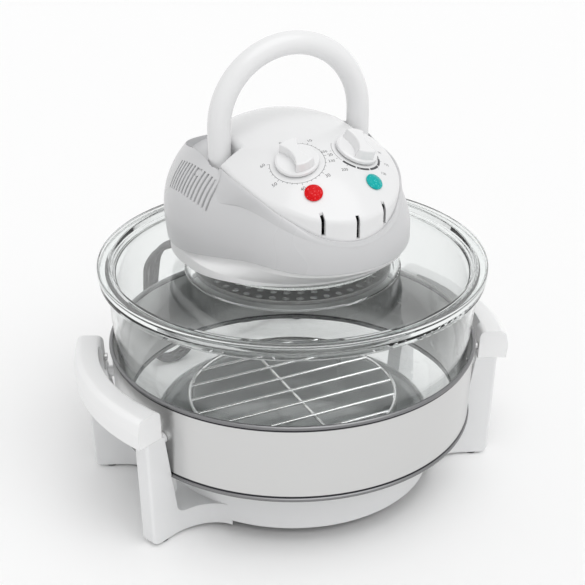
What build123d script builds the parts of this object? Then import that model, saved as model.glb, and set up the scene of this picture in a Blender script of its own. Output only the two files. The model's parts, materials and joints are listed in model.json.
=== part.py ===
"""Halogen oven: a glass bowl in a white stand with a steel band, under a glass lid that carries
a fan-oven head.

Millimetres. +Z is up and the controls face -Y. The origin is on the table, under the middle of
the bowl.
"""

import os
from math import asin, cos, degrees, pi, radians, sin, sqrt, tan

from build123d import *

os.makedirs("parts", exist_ok=True)

# --- fits -------------------------------------------------------------------------------------
seal_gap = 0.2  # between the neck's glass and its seal
seat_gap = 0.3  # between a piece and what it rests on, and round pieces that drop in
slip_gap = 0.05  # radial clearance of pins and shafts that turn or are pushed in
screw_gap = 0.1  # radial clearance of a screw in its hole

# --- the bowl's two driving sizes -------------------------------------------------------------
bowl_top_radius = 166.0
bowl_height = 206.0  # top of the bowl's rim above the table

# --- stand ------------------------------------------------------------------------------------
dish_radius = bowl_top_radius - 37.6
dish_wall = 3.0
dish_bottom = 10.0
bowl_shelf = 47.7  # top of the dish's plate
rim_above_shelf = 4.3
rib_count = 12
rib_wall = 2.0
rib_depth = 16.0
hub_radius = 30.0
arm_height = 24.0  # top of the arms above the table
arm_lift = 1.2  # the arms' underside at the posts
arm_rise = 6.0  # the arms' underside at the dish
arm_neck = 4.0  # the flare starts this far outside the post's inner foot
arm_bury = 0.057  # how far the flare's end runs into the dish's wall
arm_flare = 17.5  # degrees each side of an arm's middle, where it meets the dish
post_width = 16.0
post_top = 106.0
post_outer_top = bowl_top_radius + 24.0
post_outer_foot = bowl_top_radius + 21.0
post_inner_top = bowl_top_radius + 4.0
post_inner_foot = bowl_top_radius - 8.5
post_round = 3.0
heel_round = 8.0
grip_half_angle = 24.8  # from the side-to-side line to a grip's end
grip_inner = bowl_top_radius + 6.0
grip_outer = bowl_top_radius + 33.0
grip_height = 27.0
grip_finger_room = 6.0  # the inner edge bows out this much at the grip's middle
grip_round = 6.0
tenon_length = 12.0
tenon_width = 10.0
tenon_height = 18.0
tenon_setback = 4.0
foot_pad_radius = 6.0
foot_pad_height = 3.2
foot_pad_reach = bowl_top_radius + 6.0

# --- steel band -------------------------------------------------------------------------------
band_top = 134.6  # middle of the top bead
band_bottom = 63.7  # middle of the bottom bead
band_top_radius = bowl_top_radius - 1.4
band_bottom_radius = bowl_top_radius - 3.8
band_sheet = 0.8
band_bead = 1.9
band_screw_height = 100.0

# --- screws -----------------------------------------------------------------------------------
screw_radius = 1.75
screw_head_radius = 3.6
screw_head_height = 2.4

# --- bowl and lid -----------------------------------------------------------------------------
glass = 4.0
bowl_draft = 0.09  # run over rise of the bowl's wall
bowl_corner = 55.0
bowl_lip = 5.5  # how far the rim stands out from the wall
bowl_rim_height = 6.5
lid_rim_radius = bowl_top_radius + 6.5
lid_rim_width = 11.5
lid_rim_height = 6.7
lid_step = 8.4  # how far the lid's flat ring lies below its rim
lid_step_run = 4.0
neck_radius = 95.0
neck_top = bowl_height + 24.5

# --- cooking rack -----------------------------------------------------------------------------
rack_radius = 96.0
rack_height = 74.0
rack_wire = 1.7
rack_bars = 7
rack_pitch = 24.0

# --- head -------------------------------------------------------------------------------------
# The head's plan is the hull of a small circle in front and a larger one behind.
nose_radius = 80.5
nose_centre = -43.0
tail_radius = 104.0
tail_centre = 22.0
waist = bowl_height + 51.0  # height of the widest section
dome_height = 82.0
dome_reach = 95.0
tuck_depth = 60.0
tuck_reach = 20.0
shell_wall = 2.6
shell_bottom = bowl_height + 22.0
skirt_inset = 3.0
skirt_shoulder = bowl_height + 39.0  # below this the skirt runs out to its collar
skirt_bottom = bowl_height + 10.0
skirt_top = bowl_height + 48.0
skirt_wall = 2.4
collar_top = bowl_height + 25.0
collar_nose = 98.4  # radius round the lid's neck
collar_tail = 99.6
deck = bowl_height + 26.5  # underside of the plate that closes the skirt
deck_thickness = 2.5
deck_hole = 62.0

# --- control cover ----------------------------------------------------------------------------
crown = bowl_height + 134.0  # highest point of the cover
crown_y = 5.0
crown_front = (0.00172, 9.5e-8)  # fall in front of the crown, with the distance to the 2nd and 4th
crown_back = (0.00245, 2.3e-7)
cross_axis = bowl_height + 19.0  # the cover curves from side to side about this height
cover_half_width = 72.0
cover_front = 119.0
cover_centre = -30.0
cover_back = -8.5
cover_bottom = bowl_height + 56.0
cover_wall = 2.6
cover_round = 7.0
tongue_half_width = 54.0
tongue_centre = 39.5
collar_wall = 2.6
lip_depth = 5.0
slot_width = 3.0
slot_height = 18.6
slot_spacing = 27.5
slot_low = bowl_height + 69.6  # bottom of the middle slot
slot_rise = 5.0  # the outer slots stand this much higher

# The shell's front edge, seen from the front: distance from the middle and height.
front_edge = [
    (place, bowl_height + rise)
    for place, rise in [
        (0.0, 68.0),
        (14.0, 69.4),
        (27.0, 72.6),
        (39.0, 78.2),
        (50.0, 85.4),
        (60.0, 93.2),
        (70.0, 100.8),
        (82.0, 107.0),
        (96.0, 112.0),
    ]
]
# The shell's lower edge, seen from the side: distance from the middle and height.
hem = [
    (place, bowl_height + rise)
    for place, rise in [
        (-128.0, 43.0),
        (-106.0, 43.4),
        (-86.0, 45.4),
        (-72.0, 44.6),
        (-57.0, 41.6),
        (-35.0, 36.5),
        (-16.0, 32.4),
        (2.0, 29.2),
        (22.0, 26.9),
        (50.0, 25.4),
        (90.0, 25.2),
        (130.0, 25.2),
    ]
]
# The skirt's lower edge, seen from the side.
skirt_edge = [
    (place, bowl_height + rise)
    for place, rise in [
        (-130.0, 23.8),
        (-98.0, 23.5),
        (-80.0, 22.4),
        (-60.0, 20.7),
        (-40.0, 18.6),
        (-20.0, 16.4),
        (0.0, 14.7),
        (22.0, 13.8),
        (55.0, 13.5),
        (130.0, 13.5),
    ]
]

# --- side vents -------------------------------------------------------------------------------
vent_count = 13
vent_width = 2.2
vent_span = (-22.0, 37.5)
vent_height = 22.6
vent_low = bowl_height + 77.8  # bottom of the highest vent
vent_middle = 10.0
vent_bow = 0.0045  # the others stand lower with the square of the distance from it

# --- carry handle -----------------------------------------------------------------------------
handle_tube = 9.8
handle_reach = 65.5
pivot_y = 5.0
pivot_z = bowl_height + 97.0
arch_centre = bowl_height + 131.5
pin_radius = 3.0
channel_gap = 1.4  # beside the handle
channel_floor = bowl_height + 86.6
cam_radius = 5.0
cam_throw = 1.5
cam_width = 4.0
cam_middle = 45.0
plunger_radius = 1.5
switch_size = (7.6, 14.0, 14.0)
switch_top = bowl_height + 88.5

# --- controls ---------------------------------------------------------------------------------
dial_spacing = 53.6
dial_y = -63.5
knob_radius = 18.0
knob_base = 3.6
knob_height = 12.0
knob_bar = 9.0
knob_scoop = 24.0  # radius of the hollow on each side of the bar
shaft_radius = 3.0
lamp_spacing = 54.4
lamp_y = -93.8
lamp_radius = 7.4
lamp_dome = 2.6
lamp_neck = 5.0
unit_width = 30.0
unit_depth = 18.0
bush_radius = 5.0
bush_height = 3.0

# --- heater and fans --------------------------------------------------------------------------
pan_radius = 86.0
pan_bottom = bowl_height + 14.0
pan_sheet = 0.8
guard_level = bowl_height + 1.0
guard_rim = 3.0
guard_sheet = 1.0
guard_hole = 3.25
guard_pitch = 11.0
guard_rings = 8
ring_lamp_radius = 66.0
ring_lamp_tube = 5.0
ring_lamp_level = bowl_height + 18.0
ring_lamp_arc = 320.0
rotor_radius = 3.0
convection_radius = 50.0
convection_level = bowl_height + 9.5
convection_height = 12.0
cooling_radius = 37.0
cooling_level = bowl_height + 76.0
cooling_height = 9.0
stator_level = bowl_height + 50.0
stator_height = 16.0
stator_bore = 13.0
bearing_radius = 5.0

shield_radius = 60.0
shield_rise = 4.0
bracket_level = bowl_height + 44.0
bracket_width = 26.0
bracket_sheet = 1.5
pillar_reach = 22.0
pillar_radius = 3.4
strap_level = bowl_height + 70.0

# --- cord -------------------------------------------------------------------------------------
cord_radius = 3.0
cord_exit_height = bowl_height + 56.0
relief_length = 26.0
relief_radius = 6.5
relief_neck = 4.6


upright = (Align.CENTER, Align.CENTER, Align.MIN)


def save(piece, name):
    """Label a finished piece and write it as a STEP file."""
    piece.part.label = name
    export_step(piece.part, f"parts/{name}.step")


# ==============================================================================================
# Stand
# ==============================================================================================
post_angle = grip_half_angle - degrees(asin(post_width / 2 / post_outer_top))
post_angles = [side + turn for side in (0, 180) for turn in (-post_angle, post_angle)]
shelf_bottom = bowl_shelf - dish_wall
dish_top = bowl_shelf + rim_above_shelf
dish_inner = dish_radius - dish_wall

# One arm with its post, along +X: the plan and the side view are each extruded, and what they
# share is kept.
with BuildPart() as arm:
    with BuildSketch(Plane.XY):
        with BuildLine():
            root = (post_inner_foot + arm_neck, post_width / 2)
            flare = (dish_radius * cos(radians(arm_flare)), dish_radius * sin(radians(arm_flare)))
            Line((grip_outer, 0), (grip_outer, post_width / 2))
            Line((grip_outer, post_width / 2), root)
            TangentArc(root, flare, tangent=(-1, 0))
            buried = flare[0] - arm_bury
            Line(flare, (buried, flare[1]))
            Line((buried, flare[1]), (buried, 0))
            Line((buried, 0), (grip_outer, 0))
        make_face()
        mirror(about=Plane.XZ)
    extrude(amount=post_top)
    with BuildSketch(Plane.XZ):
        with BuildLine():
            Polyline(
                (dish_radius - dish_wall * 3, arm_rise),
                (post_inner_foot, arm_lift),
                (post_outer_foot, arm_lift),
                (post_outer_top, post_top),
                (post_inner_top, post_top),
                (post_inner_foot, arm_height - 2),
                (dish_radius - dish_wall * 3, arm_height + 2),
                close=True,
            )
        make_face()
        corners = vertices().sort_by(Axis.X)
        fillet(corners.filter_by(lambda v: abs(v.Y - arm_lift) < 1e-6 and v.X > 180), heel_round)
        hollow = vertices().filter_by(lambda v: abs(v.Y - arm_height + 2) < 1e-6)
        fillet(hollow, heel_round)
    extrude(amount=grip_outer, both=True, mode=Mode.INTERSECT)
    long_edges = arm.edges().filter_by(lambda e: e.center().X > post_outer_foot - 1 and e.length > 50)
    fillet(long_edges, post_round)
    Cylinder(dish_radius - dish_wall / 2, post_top * 3, mode=Mode.SUBTRACT)

# The band and its beads, drawn once: the posts are notched by the same section, a gap larger.
def band_section(grow):
    """The band's sheet and its two rolled beads, as one section in the XZ plane."""
    with BuildSketch(Plane.XZ) as section:
        with BuildLine():
            Polyline(
                (band_bottom_radius - band_sheet / 2 - grow, band_bottom),
                (band_bottom_radius + band_sheet / 2 + grow, band_bottom),
                (band_top_radius + band_sheet / 2 + grow, band_top),
                (band_top_radius - band_sheet / 2 - grow, band_top),
                close=True,
            )
        make_face()
        with Locations((band_bottom_radius, band_bottom), (band_top_radius, band_top)):
            Circle(band_bead + grow)
    return section


band_slope = (band_top_radius - band_bottom_radius) / (band_top - band_bottom)
band_at_screw = band_bottom_radius + band_slope * (band_screw_height - band_bottom)
band_outside = band_at_screw + band_sheet / 2
boss_radius = 5.0
boss_end = band_outside + seat_gap
tenon_inner = post_inner_top + tenon_setback

with BuildPart() as stand_base:
    # dish: an upturned pan with a locating rim above its plate
    with BuildSketch(Plane.XZ):
        with BuildLine():
            Polyline(
                (0, shelf_bottom),
                (dish_inner, shelf_bottom),
                (dish_inner, dish_bottom),
                (dish_radius, dish_bottom),
                (dish_radius, dish_top),
                (dish_inner, dish_top),
                (dish_inner, bowl_shelf),
                (0, bowl_shelf),
                close=True,
            )
        make_face()
    revolve(axis=Axis.Z)
    # ribs and a hub under the plate
    with BuildSketch(Plane.XY.offset(shelf_bottom - rib_depth)):
        Circle(hub_radius)
        Circle(hub_radius - rib_wall, mode=Mode.SUBTRACT)
        with PolarLocations((hub_radius + dish_inner) / 2, rib_count):
            Rectangle(dish_inner - hub_radius + rib_wall, rib_wall)
    extrude(amount=rib_depth)
    with Locations(*[Plane.XY.rotated((0, 0, angle)) for angle in post_angles]):
        add(arm.part)
    # tenons that stand up into the grips, and bosses that meet the band
    for angle in post_angles:
        turned = Plane.XY.rotated((0, 0, angle))
        with BuildSketch(turned.offset(post_top)):
            with Locations((tenon_inner + tenon_length / 2, 0)):
                Rectangle(tenon_length, tenon_width)
        extrude(amount=tenon_height)
        outward = Plane(turned.from_local_coords((boss_end, 0, band_screw_height)),
                        x_dir=(0, 0, 1), z_dir=turned.x_dir)
        with BuildSketch(outward):
            Circle(boss_radius)
        extrude(amount=post_inner_top - boss_end)
        with BuildSketch(outward):
            Circle(screw_radius + screw_gap)
        extrude(amount=15, mode=Mode.SUBTRACT)
        grip_screw = Plane(turned.from_local_coords((tenon_inner - 1, 0, post_top + tenon_height / 2)),
                           x_dir=(0, 0, 1), z_dir=turned.x_dir)
        with BuildSketch(grip_screw):
            Circle(screw_radius + screw_gap)
        extrude(amount=tenon_length, mode=Mode.SUBTRACT)
        # recess for the rubber foot
        with BuildSketch(turned):
            with Locations((foot_pad_reach, 0)):
                Circle(foot_pad_radius + slip_gap)
        extrude(amount=foot_pad_height, mode=Mode.SUBTRACT)
    add(band_section(seat_gap).sketch)
    revolve(axis=Axis.Z, mode=Mode.SUBTRACT)
save(stand_base, "stand_base")

with BuildPart() as rubber_feet:
    for angle in post_angles:
        with BuildSketch(Plane.XY.rotated((0, 0, angle))):
            with Locations((foot_pad_reach, 0)):
                Circle(foot_pad_radius)
        extrude(amount=foot_pad_height)
save(rubber_feet, "rubber_feet")

# A grip is a rounded section swung about the bowl's axis. Its middle is relieved for fingers.
grip_top = post_top + grip_height
finger_angle = post_angle - 4.0
relief_radius_plan = 150.0


def make_grip(side):
    """One grip, centred on the angle side, with sockets for the posts' tenons."""
    with BuildPart() as grip:
        with BuildSketch(Plane.XZ.rotated((0, 0, side - grip_half_angle))):
            with BuildLine():
                Polyline(
                    (grip_inner, post_top),
                    (grip_outer - 1.0, post_top),
                    (grip_outer, post_top + grip_height / 2),
                    (grip_outer - 3.0, grip_top),
                    (grip_inner + 1.0, grip_top),
                    close=True,
                )
            make_face()
            fillet(vertices().group_by(Axis.X)[-1], grip_round * 2)
            upper = vertices().filter_by(lambda v: v.Y > grip_top - 0.01)
            fillet(upper, grip_round)
        revolve(axis=Axis.Z, revolution_arc=2 * grip_half_angle)
        # finger room between the posts
        with BuildSketch(Plane.XY.rotated((0, 0, side)).offset(post_top)):
            with Locations((grip_inner + grip_finger_room - relief_radius_plan, 0)):
                Circle(relief_radius_plan)
            wedge = grip_outer * tan(radians(finger_angle))
            Polygon((0, 0), (grip_outer, -wedge), (grip_outer, wedge), align=None, mode=Mode.INTERSECT)
        extrude(amount=grip_height, mode=Mode.SUBTRACT)
        for turn in (-post_angle, post_angle):
            turned = Plane.XY.rotated((0, 0, side + turn))
            with BuildSketch(turned.offset(post_top)):
                with Locations((tenon_inner + tenon_length / 2, 0)):
                    Rectangle(tenon_length + 2 * seat_gap, tenon_width + 2 * seat_gap)
            extrude(amount=tenon_height + seat_gap, mode=Mode.SUBTRACT)
            screw_start = turned.from_local_coords((grip_inner - 2, 0, post_top + tenon_height / 2))
            screw_plane = Plane(screw_start, x_dir=(0, 0, 1), z_dir=turned.x_dir)
            with BuildSketch(screw_plane):
                Circle(screw_radius + screw_gap)
            extrude(amount=tenon_setback + 2, mode=Mode.SUBTRACT)
    return grip


left_grip = make_grip(180)
save(left_grip, "left_grip")
right_grip = make_grip(0)
save(right_grip, "right_grip")


def screw_at(seat, length):
    """A pan-head screw whose head rests on the plane seat and whose shank runs along its axis."""
    with Locations(seat.offset(-screw_head_height)):
        Cylinder(screw_head_radius, screw_head_height, align=upright)
    with Locations(seat):
        Cylinder(screw_radius, length, align=upright)


with BuildPart() as grip_screws:
    for angle in post_angles:
        turned = Plane.XY.rotated((0, 0, angle))
        start = turned.from_local_coords((grip_inner, 0, post_top + tenon_height / 2))
        screw_at(Plane(start, x_dir=(0, 0, 1), z_dir=turned.x_dir), 12.0)
save(grip_screws, "grip_screws")

with BuildPart() as band_screws:
    for angle in post_angles:
        turned = Plane.XY.rotated((0, 0, angle))
        start = turned.from_local_coords((band_at_screw - band_sheet / 2 - 0.2, 0, band_screw_height))
        screw_at(Plane(start, x_dir=(0, 0, 1), z_dir=turned.x_dir), 10.0)
save(band_screws, "band_screws")

with BuildPart() as steel_band:
    add(band_section(0).sketch)
    revolve(axis=Axis.Z)
    for angle in post_angles:
        turned = Plane.XY.rotated((0, 0, angle))
        hole = Plane(turned.from_local_coords((band_at_screw - 5, 0, band_screw_height)),
                     x_dir=(0, 0, 1), z_dir=turned.x_dir)
        with BuildSketch(hole):
            Circle(screw_radius + screw_gap)
        extrude(amount=10, mode=Mode.SUBTRACT)
save(steel_band, "steel_band")

# ==============================================================================================
# Bowl and rack
# ==============================================================================================
bowl_floor = bowl_shelf + seat_gap
bowl_rim_bottom = bowl_height - bowl_rim_height
bowl_foot_radius = bowl_top_radius - bowl_draft * (bowl_rim_bottom - bowl_floor)

with BuildPart() as glass_bowl:
    with BuildSketch(Plane.XZ):
        with BuildLine():
            FilletPolyline(
                (0, bowl_floor),
                (bowl_foot_radius, bowl_floor),
                (bowl_top_radius, bowl_rim_bottom + bowl_rim_height / 2),
                radius=bowl_corner,
            )
            offset(amount=glass, side=Side.LEFT)
        make_face()
        with Locations((bowl_top_radius + bowl_lip / 2 - glass / 2, bowl_height - bowl_rim_height / 2)):
            RectangleRounded(bowl_lip + glass, bowl_rim_height, bowl_rim_height * 0.35)
    revolve(axis=Axis.Z)
save(glass_bowl, "glass_bowl")

rack_floor = bowl_floor + glass + seat_gap
with BuildPart() as cooking_rack:
    with BuildSketch(Plane.XZ):
        with Locations((rack_radius, rack_height)):
            RegularPolygon(rack_wire + 0.15, 8, rotation=22.5)
    revolve(axis=Axis.Z)
    for row in range(rack_bars):
        y = (row - (rack_bars - 1) / 2) * rack_pitch
        reach = sqrt(rack_radius**2 - y**2)
        with Locations((0, y, rack_height + 0.2)):
            Cylinder(rack_wire - 0.2, 2 * reach - 0.4, rotation=(17, 90, 0))
    with Locations((0, 0, rack_height - 2.2)):
        Cylinder(rack_wire - 0.1, 2 * rack_radius + 0.4, rotation=(90, 0, 20))
    for turn in (35, 145, 215, 325):
        with Locations((rack_radius * cos(radians(turn)), rack_radius * sin(radians(turn)), rack_floor)):
            Cylinder(rack_wire + 0.4, rack_height - rack_floor, align=upright)
save(cooking_rack, "cooking_rack")

# ==============================================================================================
# Glass lid
# ==============================================================================================
lid_bottom = bowl_height + seat_gap
lid_top = lid_bottom + lid_rim_height
ring_top = lid_top - lid_step
lid_rim_inner = lid_rim_radius - lid_rim_width

with BuildPart() as lid_glass:
    with BuildSketch(Plane.XZ):
        with BuildLine():
            Polyline(
                (lid_rim_radius, lid_bottom),
                (lid_rim_radius, lid_top),
                (lid_rim_inner, lid_top),
                (lid_rim_inner - lid_step_run, ring_top),
                (neck_radius, ring_top),
                (neck_radius, neck_top),
                (neck_radius - glass, neck_top),
                (neck_radius - glass, ring_top - glass),
                (lid_rim_inner - lid_step_run, ring_top - glass),
                (lid_rim_inner, lid_bottom),
                close=True,
            )
        make_face()
        fillet(vertices(), 1.4)
    revolve(axis=Axis.Z)
save(lid_glass, "lid_glass")

seal_wall = 2.0
seal_depth = 6.0
with BuildPart() as neck_seal:
    with BuildSketch(Plane.XZ):
        with BuildLine():
            Polyline(
                (neck_radius - glass - seal_gap - seal_wall, neck_top - seal_depth),
                (neck_radius - glass - seal_gap, neck_top - seal_depth),
                (neck_radius - glass - seal_gap, neck_top + seal_gap),
                (neck_radius, neck_top + seal_gap),
                (neck_radius, deck - seat_gap),
                (neck_radius - glass - seal_gap - seal_wall, deck - seat_gap),
                close=True,
            )
        make_face()
    revolve(axis=Axis.Z)
save(neck_seal, "neck_seal")

# ==============================================================================================
# Head shell
# ==============================================================================================


def inset_at(height, wall):
    """How far the head's outline lies inside its widest one at this height, for a wall inside it."""
    if height < waist:
        return wall + tuck_reach * (1 - sqrt(1 - ((waist - height) / tuck_depth) ** 2))
    return wall + (dome_reach - wall) * (1 - sqrt(1 - ((height - waist) / (dome_height - wall)) ** 2))


def egg(front_radius, front_centre, rear_radius, rear_centre, height):
    """The hull of two circles on the middle line, as a sketch at this height."""
    with BuildSketch(Plane.XY.offset(height)) as plan:
        with BuildLine():
            turn = degrees(asin((rear_radius - front_radius) / (rear_centre - front_centre)))
            nose = CenterArc((0, front_centre), front_radius, 180 + turn, 180 - 2 * turn)
            tail = CenterArc((0, rear_centre), rear_radius, -turn, 180 + 2 * turn)
            Line(nose @ 1, tail @ 0)
            Line(tail @ 1, nose @ 0)
        make_face()
    return plan.sketch


def outline(inset, height):
    """The head's plan, moved in by inset, as a sketch at this height."""
    return egg(nose_radius - inset, nose_centre, tail_radius - inset, tail_centre, height)


def dome(wall, bottom, top):
    """The head's closed body, moved in by wall, from bottom to top."""
    heights = [bottom] + [waist + rise for rise in (-19, -9, 0, 11, 23, 35, 46, 56, 64, 70)] + [top]
    with BuildPart() as body:
        for height in heights:
            add(outline(inset_at(height, wall), height))
        loft()
    return body.part


def front_view(points, height):
    """The area under a curve through points, mirrored about the middle, down from height."""
    with BuildSketch(Plane.XZ) as view:
        with BuildLine():
            left = [(-x, z) for x, z in reversed(points[1:])]
            Spline(*left, *points)
            Polyline(
                (points[-1][0], points[-1][1]),
                (points[-1][0], height),
                (-points[-1][0], height),
                (-points[-1][0], points[-1][1]),
            )
        make_face()
    return view.sketch


def below(points, height):
    """The area between a side view's curve through points and a lower height."""
    with BuildSketch(Plane.YZ) as view:
        with BuildLine():
            Spline(*points)
            Polyline(points[-1], (points[-1][0], height), (points[0][0], height), points[0])
        make_face()
    return view.sketch


def skirt_body(wall, bottom, top):
    """The skirt's closed body, moved in by wall: the head's plan above, a round collar below."""
    with BuildPart() as body:
        for height in (top, skirt_shoulder):
            add(outline(inset_at(height, skirt_inset + wall), height))
        for height in (collar_top, bottom):
            add(egg(collar_nose - wall, 0.0, collar_tail - wall, tail_centre, height))
        loft(ruled=True)
    return body.part


def cover_plan(grow, height, front_only=False):
    """The control cover's plan, grown by grow, at this height."""
    with BuildSketch(Plane.XY.offset(height)) as plan:
        with Locations((0, cover_centre)):
            Ellipse(cover_half_width + grow, cover_front + cover_centre + grow)
        trim = cover_half_width + grow
        Polygon((-trim, cover_centre), (trim, cover_centre), (trim, -cover_front * 2),
                (-trim, -cover_front * 2), align=None, mode=Mode.INTERSECT)
        back = cover_back + grow
        Polygon((-trim, cover_centre), (trim, cover_centre), (trim, back), (-trim, back), align=None)
        if not front_only:
            neck = tongue_half_width + grow
            Polygon((-neck, cover_centre), (neck, cover_centre), (neck, tongue_centre),
                    (-neck, tongue_centre), align=None)
            with Locations((0, tongue_centre)):
                Circle(neck)
    return plan.sketch


def channel_plan(grow, height):
    """The plan of the channel that takes the folded handle, with the tongue's area, grown by grow."""
    half = handle_reach + handle_tube + channel_gap + grow
    front = cover_back + seat_gap + collar_wall - grow
    with BuildSketch(Plane.XY.offset(height)) as plan:
        with Locations((0, tongue_centre)):
            Circle(half)
        Polygon((-half, tongue_centre), (half, tongue_centre), (half, 2 * half), (-half, 2 * half),
                align=None, mode=Mode.INTERSECT)
        Polygon((-half, front), (half, front), (half, tongue_centre), (-half, tongue_centre), align=None)
    return plan.sketch


sides = (-1, 1)
pivot = Plane((0, pivot_y, pivot_z), x_dir=(0, 1, 0), z_dir=(1, 0, 0))
channel_outer = handle_reach + handle_tube + channel_gap
screw_tab = 5.0
screw_tab_height = 2.4
cover_screw_places = [(-47.4, 30), (47.4, 30), (0, 86.9), (-61.4, -62), (61.4, -62)]


def cover_screw_base(y):
    """Height of the underside of the cover's screw boss at y."""
    return channel_floor + seat_gap if y > cover_back else cover_bottom


dome_top = waist + 77.0
head_solid = dome(0, shell_bottom - 2, dome_top)
head_hollow = dome(shell_wall, shell_bottom - 4, dome_top - shell_wall)
ledge = channel_floor - 2.6

with BuildPart() as channel_tub:
    extrude(channel_plan(collar_wall, ledge), amount=60)
    add(head_solid, mode=Mode.INTERSECT)

with BuildPart() as collar:
    extrude(cover_plan(seat_gap + collar_wall, cover_bottom - 2.4, front_only=True), amount=80)
    add(head_solid, mode=Mode.INTERSECT)
    extrude(cover_plan(-cover_wall, cover_bottom - 2.4, front_only=True), amount=80, mode=Mode.SUBTRACT)

edge_below = [(x, z - lip_depth) for x, z in front_edge]
with BuildPart() as lip:
    extrude(front_view(edge_below, crown + 60), amount=130)
    add(head_solid, mode=Mode.INTERSECT)

with BuildPart() as head_shell:
    add(head_solid)
    add(head_hollow, mode=Mode.SUBTRACT)
    add(collar.part)
    add(channel_tub.part)
    add(lip.part)
    # room for the cover, and for the folded handle round its tongue
    extrude(cover_plan(seat_gap, cover_bottom - seat_gap, True), amount=100, mode=Mode.SUBTRACT)
    extrude(cover_plan(seat_gap, channel_floor), amount=100, mode=Mode.SUBTRACT)
    extrude(channel_plan(0, channel_floor), amount=100, mode=Mode.SUBTRACT)
    extrude(cover_plan(-cover_wall, shell_bottom - 9), amount=150, mode=Mode.SUBTRACT)
    # a ring inside that rests on the skirt's flange
    ring_inset = inset_at(skirt_top, shell_wall)
    extrude(outline(ring_inset - 0.5, skirt_top + seat_gap), amount=2.4)
    extrude(outline(ring_inset + 4.0, skirt_top + seat_gap), amount=2.4, mode=Mode.SUBTRACT)
    with Locations((0, tail_centre + tail_radius - shell_wall - 4, skirt_top)):
        Box(2 * relief_radius + 4, 7.8, 12, mode=Mode.SUBTRACT)
    # tabs under the cover's screw bosses
    with Locations(*[(x, y, cover_screw_base(y) - seat_gap) for x, y in cover_screw_places]):
        Cylinder(screw_tab, screw_tab_height, align=(Align.CENTER, Align.CENTER, Align.MAX))
    with Locations(*[(x, y, 0) for x, y in cover_screw_places]):
        Cylinder(screw_radius + screw_gap, 800, mode=Mode.SUBTRACT)
    # the sweeping front edge and the wavy lower one
    extrude(front_view(front_edge, crown + 60), amount=130, mode=Mode.SUBTRACT)
    extrude(below(hem, skirt_bottom - 16), amount=130, both=True, mode=Mode.SUBTRACT)
    add(skirt_body(-seat_gap, skirt_bottom, skirt_top), mode=Mode.SUBTRACT)
    # side vents, each in its own upright plane
    for step in range(vent_count):
        y = vent_span[0] + step * (vent_span[1] - vent_span[0]) / (vent_count - 1)
        low = vent_low - vent_bow * (y - vent_middle) ** 2
        start = channel_outer + collar_wall + 0.6 if y > cover_back - 2 else cover_half_width + 3.4
        for side in sides:
            with Locations((side * (start + 20), y, low)):
                Box(40, vent_width, vent_height, align=upright, mode=Mode.SUBTRACT)
    # bearings for the handle's pins, and the way in for the cord
    with BuildSketch(pivot.offset(-channel_outer - 20)):
        Circle(pin_radius + slip_gap)
    extrude(amount=2 * channel_outer + 40, mode=Mode.SUBTRACT)
    with Locations(Plane((0, 100, cord_exit_height), x_dir=(1, 0, 0), z_dir=(0, 1, 0))):
        Cylinder(relief_neck + screw_gap, 40, align=upright, mode=Mode.SUBTRACT)
save(head_shell, "head_shell")

# ==============================================================================================
# Control cover
# ==============================================================================================


def crown_height(y):
    """Height of the cover's middle line at y."""
    square, fourth = crown_front if y < crown_y else crown_back
    return crown - square * (y - crown_y) ** 2 - fourth * (y - crown_y) ** 4


def crown_slope(y):
    """Rise over run of the cover's middle line at y."""
    square, fourth = crown_front if y < crown_y else crown_back
    return -2 * square * (y - crown_y) - 4 * fourth * (y - crown_y) ** 3


def panel_plane(x, y):
    """A plane on the cover's top at x, y: its z axis stands off the surface, its x axis is level."""
    radius = crown_height(y) - cross_axis
    fall = sqrt(radius**2 - x**2)
    normal = Vector(x / fall, -crown_slope(y) * radius / fall, 1).normalized()
    return Plane((x, y, cross_axis + fall), x_dir=(normal.Z, 0, -normal.X), z_dir=normal)


def cover_body(inset, tongue_bottom):
    """The cover's closed body, moved in by inset, with its tongue's lower edge at a height."""
    with BuildPart() as body:
        extrude(cover_plan(-inset, cover_bottom, front_only=True), amount=100)
        extrude(cover_plan(-inset, tongue_bottom), amount=100)
        with BuildPart(mode=Mode.INTERSECT):
            with BuildSketch(Plane.YZ):
                with BuildLine():
                    ys = [-cover_front - 8 + step * 12 for step in range(20)]
                    top = Spline(*[(y, crown_height(y) - inset) for y in ys])
                    Polyline(top @ 1, (ys[-1], cross_axis), (ys[0], cross_axis), top @ 0)
                make_face()
            revolve(axis=Axis((0, 0, cross_axis), (0, 1, 0)))
    return body.part


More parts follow.
